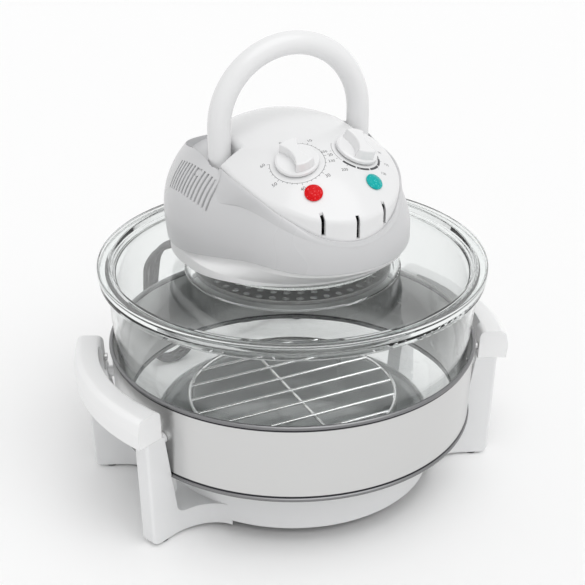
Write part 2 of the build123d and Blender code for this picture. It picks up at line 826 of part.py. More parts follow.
dials = [panel_plane(side * dial_spacing / 2, dial_y) for side in sides]
lamps = [panel_plane(side * lamp_spacing / 2, lamp_y) for side in sides]
tab_outer = tongue_half_width - cover_wall
tab_inner = tab_outer - 3.0
with BuildPart() as control_cover:
    add(cover_body(0, channel_floor + seat_gap))
    rim = control_cover.faces().sort_by(Axis.Z)[-1].edges()
    fillet(rim, cover_round)
    add(cover_body(cover_wall, cover_bottom), mode=Mode.SUBTRACT)
    # a tab that carries the safety switch
    with BuildPart(mode=Mode.ADD):
        with Locations((tab_inner + 1.6, pivot_y, switch_top - switch_size[2])):
            Box(3.2, switch_size[1], 60, align=upright)
        add(cover_body(cover_wall / 2, cover_bottom), mode=Mode.INTERSECT)
        with Locations((tab_inner + 1.6, pivot_y, switch_top - switch_size[2])):
            Box(3.0, switch_size[1], 20, align=upright)
    # screw bosses
    with BuildPart(mode=Mode.ADD):
        for x, y in cover_screw_places:
            with Locations((x, y, cover_screw_base(y))):
                Cylinder(screw_tab - 0.5, 100, align=upright)
        add(cover_body(cover_wall / 2, cover_bottom), mode=Mode.INTERSECT)
    for x, y in cover_screw_places:
        with Locations((x, y, cover_screw_base(y) - 1)):
            Cylinder(screw_radius + screw_gap, 12, align=upright, mode=Mode.SUBTRACT)
    for plane in dials:
        with Locations(plane):
            Cylinder(shaft_radius + seat_gap, 30, mode=Mode.SUBTRACT)
    for plane in lamps:
        with Locations(plane):
            Cylinder(lamp_neck + seat_gap, 30, mode=Mode.SUBTRACT)
    for place in (-1, 0, 1):
        with Locations((place * slot_spacing, -cover_front, slot_low + abs(place) * slot_rise)):
            Box(slot_width, 24, slot_height, align=upright, mode=Mode.SUBTRACT)
    with BuildSketch(pivot.offset(-80)):
        Circle(pin_radius + slip_gap)
    extrude(amount=160, mode=Mode.SUBTRACT)
save(control_cover, "control_cover")

# ==============================================================================================
# Controls
# ==============================================================================================
panel_wall = cover_wall / cos(radians(25))
unit_top = panel_wall + seat_gap + bush_height


def make_unit(plane):
    """A switch unit hung under the panel by its bush."""
    with BuildPart() as unit:
        with BuildSketch(plane.offset(-unit_top)):
            RectangleRounded(unit_width, unit_width, 3)
        extrude(amount=-unit_depth)
        with BuildSketch(plane.offset(-unit_top)):
            Circle(bush_radius)
        extrude(amount=bush_height)
        with BuildSketch(plane.offset(-panel_wall)):
            Circle(shaft_radius + slip_gap)
        extrude(amount=-(unit_depth - 2), mode=Mode.SUBTRACT)
    return unit


timer_unit = make_unit(dials[0])
save(timer_unit, "timer_unit")
thermostat_unit = make_unit(dials[1])
save(thermostat_unit, "thermostat_unit")


def make_shaft(plane):
    """The shaft of a switch unit, from inside the unit into its knob."""
    with BuildPart() as shaft:
        with BuildSketch(plane.offset(-unit_depth)):
            Circle(shaft_radius)
        extrude(amount=unit_depth + knob_height - 4)
    return shaft


timer_shaft = make_shaft(dials[0])
save(timer_shaft, "timer_shaft")
thermostat_shaft = make_shaft(dials[1])
save(thermostat_shaft, "thermostat_shaft")


def make_knob(plane):
    """A round knob with a raised bar for the fingers."""
    with BuildPart() as blank:
        with BuildSketch(Plane.XZ):
            with BuildLine():
                Polyline(
                    (0, seat_gap),
                    (knob_radius, seat_gap),
                    (knob_radius, knob_base - 1.2),
                    (knob_radius - 1.6, knob_base),
                    (0, knob_base),
                    close=True,
                )
            make_face()
        revolve(axis=Axis.Z)
        with BuildSketch(Plane.XY.offset(knob_base - 1)):
            Circle(knob_radius - 1.8)
            for side in (-1, 1):
                with Locations((side * (knob_scoop + knob_bar / 2), 0)):
                    Circle(knob_scoop, mode=Mode.SUBTRACT)
        extrude(amount=knob_height - knob_base + 1, taper=3)
        bar_top = blank.faces().sort_by(Axis.Z)[-1]
        fillet(bar_top.edges(), 1.2)
        with BuildSketch(Plane.XY):
            Circle(shaft_radius + slip_gap)
        extrude(amount=knob_height - 4 + seat_gap, mode=Mode.SUBTRACT)
    with BuildPart() as knob:
        with Locations(plane):
            add(blank.part)
    return knob


timer_knob = make_knob(dials[0])
save(timer_knob, "timer_knob")
temperature_knob = make_knob(dials[1])
save(temperature_knob, "temperature_knob")

lamp_length = panel_wall + 6
ball = (lamp_radius**2 + lamp_dome**2) / (2 * lamp_dome)  # radius of the lens's dome
half = asin(lamp_radius / ball) / 2


def make_lamp(plane):
    """A domed lens with a flange on the panel and a neck through it."""
    with BuildPart() as lamp:
        with BuildSketch(Plane.XZ):
            with BuildLine():
                Polyline(
                    (0, -lamp_length),
                    (lamp_neck, -lamp_length),
                    (lamp_neck, seat_gap),
                    (lamp_radius, seat_gap),
                    (lamp_radius, 1.2),
                )
                ThreePointArc((lamp_radius, 1.2), (ball * sin(half), 1.2 + lamp_dome - ball * (1 - cos(half))),
                              (0, 1.2 + lamp_dome))
                Line((0, 1.2 + lamp_dome), (0, -lamp_length))
            make_face()
        revolve(axis=Axis.Z)
    with BuildPart() as placed:
        with Locations(plane):
            add(lamp.part)
    return placed


power_lamp = make_lamp(lamps[0])
save(power_lamp, "power_lamp")
heat_lamp = make_lamp(lamps[1])
save(heat_lamp, "heat_lamp")

with BuildPart() as lamp_holders:
    for plane in lamps:
        with BuildSketch(plane.offset(-panel_wall - seat_gap)):
            Circle(lamp_neck + 2.5)
        extrude(amount=-9)
        with BuildSketch(plane):
            Circle(lamp_neck + slip_gap)
        extrude(amount=-lamp_length - slip_gap, mode=Mode.SUBTRACT)
save(lamp_holders, "lamp_holders")

# ==============================================================================================
# Carry handle and its safety switch
# ==============================================================================================
with BuildPart() as carry_handle:
    with BuildLine(Plane.XZ.offset(-pivot_y)):
        Line((-handle_reach, pivot_z), (-handle_reach, arch_centre))
        CenterArc((0, arch_centre), handle_reach, 180, -180)
        Line((handle_reach, arch_centre), (handle_reach, pivot_z))
    with BuildSketch(Plane((-handle_reach, pivot_y, pivot_z))):
        Circle(handle_tube)
    sweep()
    for side in sides:
        with Locations((side * handle_reach, pivot_y, pivot_z)):
            Sphere(handle_tube)
        with Locations(pivot.offset(side * handle_reach)):
            Cylinder(pin_radius + slip_gap, 4 * handle_tube, mode=Mode.SUBTRACT)
save(carry_handle, "carry_handle")

# The pins turn with the handle. The right one carries a cam whose radius grows evenly with the
# turn, so the plunger under it goes down evenly as the handle folds back.
pin_inner = tab_inner - 1.0
pin_outer = channel_outer + collar_wall - 0.4
cam_growth = cam_throw / (pi / 2)
with BuildPart() as handle_pins:
    with BuildSketch(pivot.offset(-pin_outer)):
        Circle(pin_radius)
    extrude(amount=pin_outer - pin_inner)
    with BuildSketch(pivot.offset(cam_middle - cam_width / 2)):
        Circle(pin_radius)
    extrude(amount=pin_outer - cam_middle + cam_width / 2)
    with BuildSketch(pivot.offset(cam_middle - cam_width / 2)):
        with BuildLine():
            turns = [-0.6 + step * 0.28 for step in range(11)]
            rim = [
                ((cam_radius + cam_growth * turn) * sin(turn), -(cam_radius + cam_growth * turn) * cos(turn))
                for turn in turns
            ]
            Spline(*rim)
            Polyline(rim[-1], (0, 0), rim[0])
        make_face()
        Circle(pin_radius)
    extrude(amount=cam_width)
save(handle_pins, "handle_pins")

plunger_top = pivot_z - cam_radius - 0.1
with BuildPart() as switch_plunger:
    with Locations((cam_middle, pivot_y, plunger_top - 9)):
        Cylinder(plunger_radius, 9, align=upright)
save(switch_plunger, "switch_plunger")

switch_middle = tab_inner - seat_gap - switch_size[0] / 2
with BuildPart() as safety_switch:
    with Locations((switch_middle, pivot_y, switch_top - switch_size[2])):
        Box(*switch_size, align=upright)
    with Locations((cam_middle, pivot_y, switch_top)):
        Cylinder(plunger_radius + slip_gap, 18, mode=Mode.SUBTRACT)
    for y in (-4, 4):
        with Locations((switch_middle, pivot_y + y, switch_top - switch_size[2] - 5)):
            Box(0.8, 3, 6, align=upright)
save(safety_switch, "safety_switch")

# ==============================================================================================
# Skirt, reflector, guard and lamp
# ==============================================================================================


with BuildPart() as head_skirt:
    add(skirt_body(0, skirt_bottom, skirt_top))
    extrude(outline(inset_at(skirt_top, shell_wall + seat_gap), skirt_top - 2), amount=2)
    add(skirt_body(skirt_wall, skirt_bottom - 1, skirt_top + 1), mode=Mode.SUBTRACT)
    with BuildPart(mode=Mode.ADD):
        add(skirt_body(skirt_wall / 2, skirt_bottom, skirt_top))
        with Locations((0, 0, deck)):
            Box(400, 400, deck_thickness, align=upright, mode=Mode.INTERSECT)
        Cylinder(deck_hole, 3 * deck, mode=Mode.SUBTRACT)
    extrude(below(skirt_edge, skirt_bottom - 16), amount=130, both=True, mode=Mode.SUBTRACT)
save(head_skirt, "head_skirt")

with BuildPart() as cover_screws:
    for x, y in cover_screw_places:
        under = cover_screw_base(y) - seat_gap - (screw_tab_height)
        screw_at(Plane((x, y, under)), 11.0)
save(cover_screws, "cover_screws")

pan_top = deck - seat_gap
post_ring = pan_radius - 8.0
post_radius = 2.5
guard_top = guard_level + guard_sheet
post_turns = (60, 180, 300)
with BuildPart() as reflector_pan:
    with Locations((0, 0, pan_bottom)):
        Cylinder(pan_radius, pan_top - pan_bottom, align=upright)
        Cylinder(pan_radius - pan_sheet, pan_top - pan_bottom - pan_sheet, align=upright,
                 mode=Mode.SUBTRACT)
        Cylinder(rotor_radius + 1, pan_top, align=upright, mode=Mode.SUBTRACT)
save(reflector_pan, "reflector_pan")

with BuildPart() as guard_plate:
    with BuildSketch(Plane.XY.offset(guard_level)):
        Circle(pan_radius + seat_gap + guard_sheet)
        RegularPolygon(guard_hole, 6, mode=Mode.SUBTRACT)
        for ring in range(1, guard_rings):
            with PolarLocations(ring * guard_pitch, 6 * ring):
                RegularPolygon(guard_hole, 6, mode=Mode.SUBTRACT)
    extrude(amount=guard_sheet)
    with BuildSketch(Plane.XY.offset(guard_level)):
        Circle(pan_radius + seat_gap + guard_sheet)
        Circle(pan_radius + seat_gap, mode=Mode.SUBTRACT)
    extrude(amount=guard_rim + guard_sheet)
save(guard_plate, "guard_plate")

with BuildPart() as guard_posts:
    with BuildSketch(Plane.XY.offset(guard_top + seat_gap)):
        for turn in post_turns:
            with Locations((post_ring * cos(radians(turn)), post_ring * sin(radians(turn)))):
                Circle(post_radius)
    extrude(amount=pan_top - pan_sheet - guard_top - 2 * seat_gap)
save(guard_posts, "guard_posts")

# ==============================================================================================
# Halogen lamp
# ==============================================================================================
with BuildPart() as halogen_tube:
    with BuildLine(Plane.XY.offset(ring_lamp_level)):
        CenterArc((0, 0), ring_lamp_radius, 90 + (360 - ring_lamp_arc) / 2, ring_lamp_arc)
    lamp_start = 90 + (360 - ring_lamp_arc) / 2
    start_plane = Plane(
        (ring_lamp_radius * cos(radians(lamp_start)), ring_lamp_radius * sin(radians(lamp_start)),
         ring_lamp_level),
        z_dir=(-sin(radians(lamp_start)), cos(radians(lamp_start)), 0),
    )
    with BuildSketch(start_plane):
        Circle(ring_lamp_tube)
    sweep()
    # the pinched ends turn up towards the terminals
    for end in (lamp_start, lamp_start + ring_lamp_arc):
        with Locations((ring_lamp_radius * cos(radians(end)), ring_lamp_radius * sin(radians(end)),
                        ring_lamp_level)):
            Sphere(ring_lamp_tube)
            Cylinder(2.2, pan_top - pan_sheet - seat_gap - ring_lamp_level, align=upright)
save(halogen_tube, "halogen_tube")

clip_turns = (0, 180, 270)
clip_width = 6.0
with BuildPart() as tube_clips:
    for turn in clip_turns:
        with BuildSketch(Plane.XZ.rotated((0, 0, turn))):
            with Locations((ring_lamp_radius, ring_lamp_level)):
                Circle(ring_lamp_tube + seat_gap + 1.0)
                Circle(ring_lamp_tube + seat_gap, mode=Mode.SUBTRACT)
            with Locations((ring_lamp_radius, ring_lamp_level - 2 * ring_lamp_tube)):
                Rectangle(6, 3 * ring_lamp_tube, mode=Mode.SUBTRACT)
            stem = pan_top - pan_sheet - seat_gap - ring_lamp_level - ring_lamp_tube - seat_gap
            with Locations((ring_lamp_radius, ring_lamp_level + ring_lamp_tube + seat_gap + stem / 2)):
                Rectangle(3, stem)
        extrude(amount=clip_width / 2, both=True)
save(tube_clips, "tube_clips")

# ==============================================================================================
# Heat shield, motor and fans
# ==============================================================================================
shield_foot = deck + deck_thickness + seat_gap
with BuildPart() as heat_shield:
    with BuildSketch(Plane.XZ):
        with BuildLine():
            Polyline(
                (rotor_radius + 2, shield_foot + shield_rise),
                (shield_radius, shield_foot + shield_rise),
                (shield_radius + 6, shield_foot),
                (shield_radius + 12, shield_foot),
                (shield_radius + 12, shield_foot + pan_sheet),
                (shield_radius + 6.4, shield_foot + pan_sheet),
                (shield_radius + 0.4, shield_foot + shield_rise + pan_sheet),
                (rotor_radius + 2, shield_foot + shield_rise + pan_sheet),
                close=True,
            )
        make_face()
    revolve(axis=Axis.Z)
save(heat_shield, "heat_shield")

bracket_foot = shield_foot + pan_sheet + seat_gap
bracket_reach = shield_radius + 11
with BuildPart() as motor_bracket:
    with BuildSketch(Plane.XZ):
        with BuildLine():
            Polyline(
                (-bracket_reach, bracket_foot + bracket_sheet / 2),
                (-shield_radius + 2, bracket_foot + shield_rise + 3),
                (-shield_radius + 14, bracket_level),
                (shield_radius - 14, bracket_level),
                (shield_radius - 2, bracket_foot + shield_rise + 3),
                (bracket_reach, bracket_foot + bracket_sheet / 2),
            )
            offset(amount=bracket_sheet / 2, side=Side.BOTH)
        make_face()
    extrude(amount=bracket_width / 2, both=True)
    for side in sides:
        with Locations((side * (shield_radius + 8.7), 0, bracket_foot)):
            Box(5, bracket_width, bracket_sheet, align=upright)
        with Locations((side * pillar_reach, 0, bracket_level)):
            Cylinder(pillar_radius, stator_level - seat_gap - bracket_level, align=upright)
            Cylinder(2.0, strap_level - bracket_level + 1, align=upright)
    with Locations((0, 0, strap_level)):
        Box(2 * pillar_reach + 8, 12, bracket_sheet, align=upright)
        Cylinder(bearing_radius, 3, align=upright)
    with Locations((0, 0, bracket_level)):
        Cylinder(bearing_radius, 3, align=upright)
    with Locations((0, 0, bracket_level - 10)):
        Cylinder(rotor_radius + slip_gap, 60, align=upright, mode=Mode.SUBTRACT)
save(motor_bracket, "motor_bracket")

limb_inner = 30.0
limb_outer = 40.0
window_start = 17.0
with BuildPart() as motor_stator:
    with BuildSketch(Plane.XY.offset(stator_level)):
        with Locations((0, (limb_outer - 20) / 2)):
            Rectangle(56, limb_outer + 20)
        Circle(stator_bore, mode=Mode.SUBTRACT)
        with Locations((0, (window_start + limb_inner) / 2)):
            Rectangle(32, limb_inner - window_start, mode=Mode.SUBTRACT)
        with Locations((-pillar_reach, 0), (pillar_reach, 0)):
            Circle(2.0 + screw_gap, mode=Mode.SUBTRACT)
    extrude(amount=stator_height)
save(motor_stator, "motor_stator")

coil_wall = 3.2
with BuildPart() as motor_coils:
    limb_middle = (limb_inner + limb_outer) / 2
    with Locations((0, limb_middle, stator_level + stator_height / 2)):
        Box(30, limb_outer - limb_inner + 2 * coil_wall, stator_height + 2 * coil_wall)
        Box(32, limb_outer - limb_inner + 2 * seat_gap, stator_height + 2 * seat_gap, mode=Mode.SUBTRACT)
    fillet(motor_coils.edges().filter_by(Axis.X).group_by(Axis.Z)[0], 1.0)
save(motor_coils, "motor_coils")

rotor_bottom = convection_level - 1
rotor_top = cooling_level + cooling_height
with BuildPart() as rotor_shaft:
    with Locations((0, 0, rotor_bottom)):
        Cylinder(rotor_radius, rotor_top - rotor_bottom, align=upright)
    with Locations((0, 0, stator_level + 0.5)):
        Cylinder(stator_bore - 0.5, stator_height - 1, align=upright)
save(rotor_shaft, "rotor_shaft")


def make_fan(level, height, radius, hub, blades, pitch):
    """A fan of flat tilted blades round a hub."""
    with BuildPart() as fan:
        with Locations((0, 0, level)):
            Cylinder(hub, height, align=upright)
        for step in range(blades):
            spoke = Plane.XZ.rotated((0, 0, step * 360 / blades))
            with Locations(Plane((0, 0, level + height / 2), x_dir=spoke.x_dir, z_dir=(0, 0, 1))
                           * Location(((hub + radius) / 2 - 1, 0, 0), (pitch, 0, 0))):
                Box(radius - hub + 1, 1.2, height / cos(radians(pitch)) - 1.2)
        with Locations((0, 0, level - 1)):
            Cylinder(rotor_radius + slip_gap, height + 2, align=upright, mode=Mode.SUBTRACT)
    return fan


convection_fan = make_fan(convection_level, convection_height, convection_radius, 8.0, 8, 25)
save(convection_fan, "convection_fan")
cooling_fan = make_fan(cooling_level, cooling_height, cooling_radius, 8.0, 9, 35)
save(cooling_fan, "cooling_fan")

# ==============================================================================================
# Cord
# ==============================================================================================
block_size = (34.0, 16.0, 14.0)
block_y = 96.0
with BuildPart() as terminal_block:
    with Locations((0, block_y, deck + deck_thickness + seat_gap)):
        Box(*block_size, align=upright)
    for step in range(3):
        with Locations((-10 + 10 * step, block_y, deck + deck_thickness + seat_gap + block_size[2] - 4)):
            Cylinder(2.2, 8, align=upright, mode=Mode.SUBTRACT)
save(terminal_block, "terminal_block")

rear = tail_centre + tail_radius - inset_at(cord_exit_height, 0)
relief_start = rear + 0.5
rearward = Plane((0, relief_start, cord_exit_height), x_dir=(1, 0, 0), z_dir=(0, 1, 0))
with BuildPart() as cord_relief:
    with BuildSketch(rearward.offset(-shell_wall - 4)):
        Circle(relief_radius)
    extrude(amount=3)
    with BuildSketch(rearward.offset(-shell_wall - 4)):
        Circle(relief_neck)
    extrude(amount=shell_wall + 5)
    with BuildSketch(rearward):
        Circle(relief_radius)
    extrude(amount=4)
    with BuildSketch(rearward.offset(4)):
        Circle(relief_neck + 0.6)
    extrude(amount=relief_length - 4, taper=2.2)
save(cord_relief, "cord_relief")

# The cord leaves the strain relief and drops behind the lid into a hank that stands on the table.
# A tail runs from the hank to the plug.
hank_top = Vector(-29.0, lid_rim_radius + 40.5, bowl_height - 46.0)
hank_foot = Vector(-43.0, lid_rim_radius + 59.5, 1.5)
hank_width = 64.0
hank_strand = 15.0
hank_thick = 13.0
plug_length = 46.0
plug_width = 48.0
plug_height = 25.0
plug_gland = 12.0
plug_pin_sizes = [(8.0, 4.0, 22.7, 34.0, 0.0), (4.0, 6.3, 17.7, 12.0, 11.0), (4.0, 6.3, 17.7, 12.0, -11.0)]

hank_axis = (hank_top - hank_foot).normalized()
hank_side = hank_axis.cross(Vector(0, 1, 0)).normalized() * -1
hank_normal = hank_axis.cross(hank_side).normalized()
hank_length = (hank_top - hank_foot).length
tail_start = hank_foot + hank_axis * (hank_width / 2 + 6) + hank_side * (hank_width / 2)
cord_points = [
    Vector(0, relief_start + relief_length, cord_exit_height),
    Vector(0, relief_start + relief_length + 29.7, cord_exit_height),
    Vector(-5.0, max(lid_rim_radius + 31.5, relief_start + relief_length + 51.7), cord_exit_height - 22.0),
    Vector(-22.0, lid_rim_radius + 36.5, hank_top.Z + 40.0),
    hank_top,
]
tail_points = [
    tail_start,
    tail_start + hank_side * 41,
    Vector(67.0, lid_rim_radius + 71.5, plug_height / 2 + seat_gap),
    Vector(105.5, lid_rim_radius + 88.5, plug_height / 2 + seat_gap),
]


def bend_radii(name, points):
    """The largest even bend at each corner of a cord's path."""
    radii = []
    for before, corner, after in zip(points, points[1:], points[2:]):
        first = corner - before
        second = after - corner
        half_turn = radians(first.get_angle(second)) / 2
        radii.append(0.45 * min(first.length, second.length) / tan(half_turn))
    print(name, "bend radii", [round(radius, 1) for radius in radii])
    return radii


def make_cord(name, points):
    """A length of cord along its path."""
    with BuildPart() as tube:
        with BuildLine():
            FilletPolyline(*points, radius=bend_radii(name, points))
        with BuildSketch(Plane(points[0], z_dir=points[1] - points[0])):
            Circle(cord_radius)
        sweep()
    return tube


cord = make_cord("cord", cord_points)
save(cord, "cord")
cord_tail = make_cord("cord_tail", tail_points)
save(cord_tail, "cord_tail")

hank_plane = Plane((hank_top + hank_foot) * 0.5, x_dir=hank_axis, z_dir=hank_normal)
with BuildPart() as cord_hank:
    with BuildSketch(hank_plane.offset(-hank_thick / 2)):
        SlotOverall(hank_length, hank_width)
        SlotOverall(hank_length - 2 * hank_strand, hank_width - 2 * hank_strand, mode=Mode.SUBTRACT)
    extrude(amount=hank_thick)
save(cord_hank, "cord_hank")

plug_way = tail_points[-1] - tail_points[-2]
plug_frame = Plane(tail_points[-1], x_dir=Vector(plug_way.X, plug_way.Y, 0), z_dir=(0, 0, 1))
with BuildPart() as plug:
    with BuildSketch(plug_frame.offset(-plug_height / 2)):
        with Locations((plug_gland + plug_length / 2 - 1, 0)):
            RectangleRounded(plug_length, plug_width, 9)
    extrude(amount=plug_height)
    fillet(plug.edges().group_by(Axis.Z)[-1], 3)
    gland_start = Plane(tail_points[-1], z_dir=Vector(plug_way.X, plug_way.Y, 0))
    with BuildSketch(gland_start):
        Circle(cord_radius + 1.6)
    extrude(amount=plug_gland)
    with BuildSketch(plug_frame.offset(plug_height / 2 - 4)):
        for width, depth, height, x, y in plug_pin_sizes:
            with Locations((plug_gland + x, y)):
                Rectangle(width + 2 * slip_gap, depth + 2 * slip_gap)
    extrude(amount=10, mode=Mode.SUBTRACT)
save(plug, "plug")

with BuildPart() as plug_pins:
    for width, depth, height, x, y in plug_pin_sizes:
        with BuildSketch(plug_frame.offset(plug_height / 2 - 4 + slip_gap)):
            with Locations((plug_gland + x, y)):
                Rectangle(width, depth)
        extrude(amount=height + 4)
save(plug_pins, "plug_pins")
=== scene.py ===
# %% [markdown]
# # A halogen oven
#
# This lesson dresses the CAD model of a countertop halogen oven: a glass bowl in a white stand,
# under a glass lid that carries a fan-oven head. The solids already have their size and place,
# so most of the work is finish: moulded plastic, brushed sheet, clear glass. What is printed,
# rolled or flexible is modelled here.
#
# The frame comes first. It brings in every solid in metres, in the oven's own axes: +Z is up,
# the controls face -Y, and the origin is on the table under the middle of the bowl.

# %% Load the frame
import json
from math import cos, degrees, pi, radians, sin, tan

import bpy
import numpy as np
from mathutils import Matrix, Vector
from mathutils.bvhtree import BVHTree


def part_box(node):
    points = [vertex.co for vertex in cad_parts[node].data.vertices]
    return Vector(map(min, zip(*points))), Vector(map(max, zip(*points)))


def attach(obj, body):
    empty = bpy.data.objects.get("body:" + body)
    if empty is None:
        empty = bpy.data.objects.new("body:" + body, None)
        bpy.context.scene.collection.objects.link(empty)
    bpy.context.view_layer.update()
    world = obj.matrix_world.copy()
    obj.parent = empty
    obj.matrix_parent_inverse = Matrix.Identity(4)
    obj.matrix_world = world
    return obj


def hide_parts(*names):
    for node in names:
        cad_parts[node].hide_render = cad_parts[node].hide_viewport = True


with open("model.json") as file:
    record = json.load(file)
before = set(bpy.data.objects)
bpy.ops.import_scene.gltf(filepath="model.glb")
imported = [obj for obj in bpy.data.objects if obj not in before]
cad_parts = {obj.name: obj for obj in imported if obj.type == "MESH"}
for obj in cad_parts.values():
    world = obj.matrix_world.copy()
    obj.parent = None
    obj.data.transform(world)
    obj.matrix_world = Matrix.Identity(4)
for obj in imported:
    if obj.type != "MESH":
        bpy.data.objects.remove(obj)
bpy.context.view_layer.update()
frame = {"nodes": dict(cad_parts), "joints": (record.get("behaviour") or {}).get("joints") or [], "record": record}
nodes = frame["nodes"]
mm = 0.001

# %% [markdown]
# ## Camera
#
# The oven is seen from its left front and from 26 degrees above the level. The camera stands
# 1.17 m from the middle of the oven with a short telephoto lens, which keeps the rims close to
# true ellipses.

# %% Camera
look_at = Vector((0, 0, 0.175))
camera_turn = radians(-26.0)
camera_height = radians(26.32)
camera_distance = 1.1742
lens_length = 80.2
sensor_width = 36


def add_camera():
    data = bpy.data.cameras.new("camera")
    data.lens = lens_length
    data.sensor_width = sensor_width
    camera = bpy.data.objects.new("camera", data)
    back = Vector((sin(camera_turn) * cos(camera_height), -cos(camera_turn) * cos(camera_height),
                   sin(camera_height)))
    camera.location = look_at + back * camera_distance
    camera.rotation_mode = "QUATERNION"
    camera.rotation_quaternion = (-back).to_track_quat("-Z", "Y")
    bpy.context.scene.collection.objects.link(camera)
    bpy.context.scene.camera = camera
    return camera


camera = add_camera()
print("camera at", [round(v, 3) for v in camera.location])

# %% [markdown]
# ## The mains lead
#
# A lead has one length and bends only gently, so it is one curve with a round bevel. It leaves
# the strain relief level, drops behind the lid under its own weight and goes into a hank of
# three turns that stands on the table, leaning a little. The hank is tied on one side only, so on
# the other side its turns differ in size and fan out. After a last way down, the tail goes to the
# plug.
#
# A quadratic NURBS spline suits this: it stays inside its control points and has no kinks. Its
# order is set after the points, because Blender lowers the order of a spline that is too short.
# Its thickness is each point's radius times a bevel of 1, which keeps its bounding box close to
# the lead itself.

# %% The hank's own directions
lead_radius = 3.0 * mm
hank_top = Vector((-29.0, 213.0, 160.0)) * mm
hank_foot = Vector((-43.0, 232.0, 1.5)) * mm
hank_axis = (hank_top - hank_foot).normalized()
hank_side = hank_axis.cross(Vector((0, 1, 0))).normalized() * -1
hank_normal = hank_axis.cross(hank_side).normalized()


def in_hank(side, rise, depth=0.0):
    """A point of the hank, in mm to its right, up from its foot and away from the oven."""
    return hank_foot + (hank_side * side + hank_axis * rise + hank_normal * depth) * mm


print("the hank leans", round(degrees(hank_axis.angle(Vector((0, 0, 1)))), 1), "degrees")

# %% One turn of the hank
# A turn goes down the right side, round the foot, up the left side and over the top. On the right
# the passes lie side by side like a flat spring, a little more than a lead's width apart. The step
# from one place to the next is taken on the loose left side, where each turn also strays its own
# way.
hank_half = 24.5  # from the hank's middle to its right side
hank_depths = [-9.3, -3.1, 3.1, 9.3]  # where each pass lies on the right, from the oven outward
left_stray = [-9.5, -0.5, 8.0]
turn_tops = [141, 141, 138]
table_gap = 0.2  # under the lead where it lies


def half_round(start, end, level, way, depth):
    """Four control points that take the lead half round, over (way 1) or under (way -1) a level."""
    radius = abs(end - start) / 2
    middle = (start + end) / 2
    near = radius * tan(radians(22.5))
    toward = near if start > end else -near
    places = [(start, near), (middle + toward, radius), (middle - toward, radius), (end, near)]
    return [in_hank(side, level + way * rise, depth) for side, rise in places]


def hank_turn(turn):
    """Points of one turn, fourteen in all."""
    near, far = hank_depths[turn], hank_depths[turn + 1]
    left = left_stray[turn] - hank_half
    lowest = lead_radius - hank_foot.z - hank_normal.z * near * mm
    on_table = lowest / hank_axis.z / mm + table_gap
    points = [in_hank(hank_half, rise, near) for rise in (104, 74, 44)]
    points += half_round(hank_half, -hank_half, on_table + hank_half, -1, near)
    for share, rise in ((0.3, 44), (0.75, 73), (1.0, 103)):
        side = left_stray[turn] * share - hank_half
        points.append(in_hank(side, rise, near + (far - near) * share))
    points += half_round(left, hank_half, turn_tops[turn] - (hank_half - left) / 2, 1, far)
    return points


print("points in a whole turn:", len(hank_turn(0)))

# %% The lead's route
relief_end = Vector((0.0, 152.3, 262.0)) * mm
# Both ways are in mm, across, back and up.
way_down = [(0, 183, 262), (-5, 205, 240), (-22, 209, 200), (-18.5, 208, 163)]
way_to_plug = [(45, 240, 21), (72, 246, 12.8), (105.5, 261, 12.8)]
last_pass = hank_depths[-1]
route = [relief_end] + [Vector(point) * mm for point in way_down]
route.append(in_hank(19, 132, -9.6))
for turn in range(len(turn_tops)):
    route += hank_turn(turn)
route += [in_hank(hank_half, 107, last_pass), in_hank(hank_half, 85, last_pass)]
route += [in_hank(25, 64, last_pass), in_hank(34, 44, 9), in_hank(55, 36, 7)]
route += [Vector(point) * mm for point in way_to_plug]


def add_lead(name, points, radius):
    """A round lead along one smooth spline."""
    data = bpy.data.curves.new(name, "CURVE")
    data.dimensions = "3D"
    spline = data.splines.new("NURBS")
    spline.points.add(len(points) - 1)
    for point, place in zip(spline.points, points):
        point.co = (*place, 1)
        point.radius = radius
    spline.order_u = 3
    spline.use_endpoint_u = True
    spline.resolution_u = 10
    data.bevel_depth = 1.0
    data.bevel_resolution = 5
    lead = bpy.data.objects.new(name, data)
    bpy.context.scene.collection.objects.link(lead)
    return lead


def line_of(lead):
    """The points that a lead's spline really follows."""
    plain = lead.copy()
    plain.data = lead.data.copy()
    plain.data.bevel_depth = 0
    mesh = bpy.data.meshes.new_from_object(plain)
    points = [vertex.co.copy() for vertex in mesh.vertices]
    bpy.data.objects.remove(plain)
    bpy.data.meshes.remove(mesh)
    return points


lead = add_lead("mains_lead", route, lead_radius)
lead_line = line_of(lead)
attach(lead, "lid")
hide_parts("cord", "cord_hank", "cord_tail")

# %% [markdown]
# The tie is a flat plastic band round the four passes on the right. It is a closed ring with a
# rounded oblong outline, drawn in the plane across the lead and given a small height.

# %% The hank's tie
tie_rise = 84
tie_room = (3.3 * mm, 12.6 * mm)  # inside, from its middle, across the lead and along the row
tie_thick = 0.8 * mm
tie_height = 5 * mm
tie_sides = 48
tie_squareness = 5  # 2 would make its outline an ellipse


def tie_ring(level, out):
    """Points round the bundle at one level, so far outside the tie's inner face."""
    ring = []
    for side in range(tie_sides):
        angle = 2 * pi * side / tie_sides
        power = abs(cos(angle)) ** tie_squareness + abs(sin(angle)) ** tie_squareness
        reach = power ** (-1 / tie_squareness)
        across = hank_side * cos(angle) * (tie_room[0] + out)
        along = hank_normal * sin(angle) * (tie_room[1] + out)
        ring.append(in_hank(hank_half, tie_rise) + (across + along) * reach + hank_axis * level)
    return ring


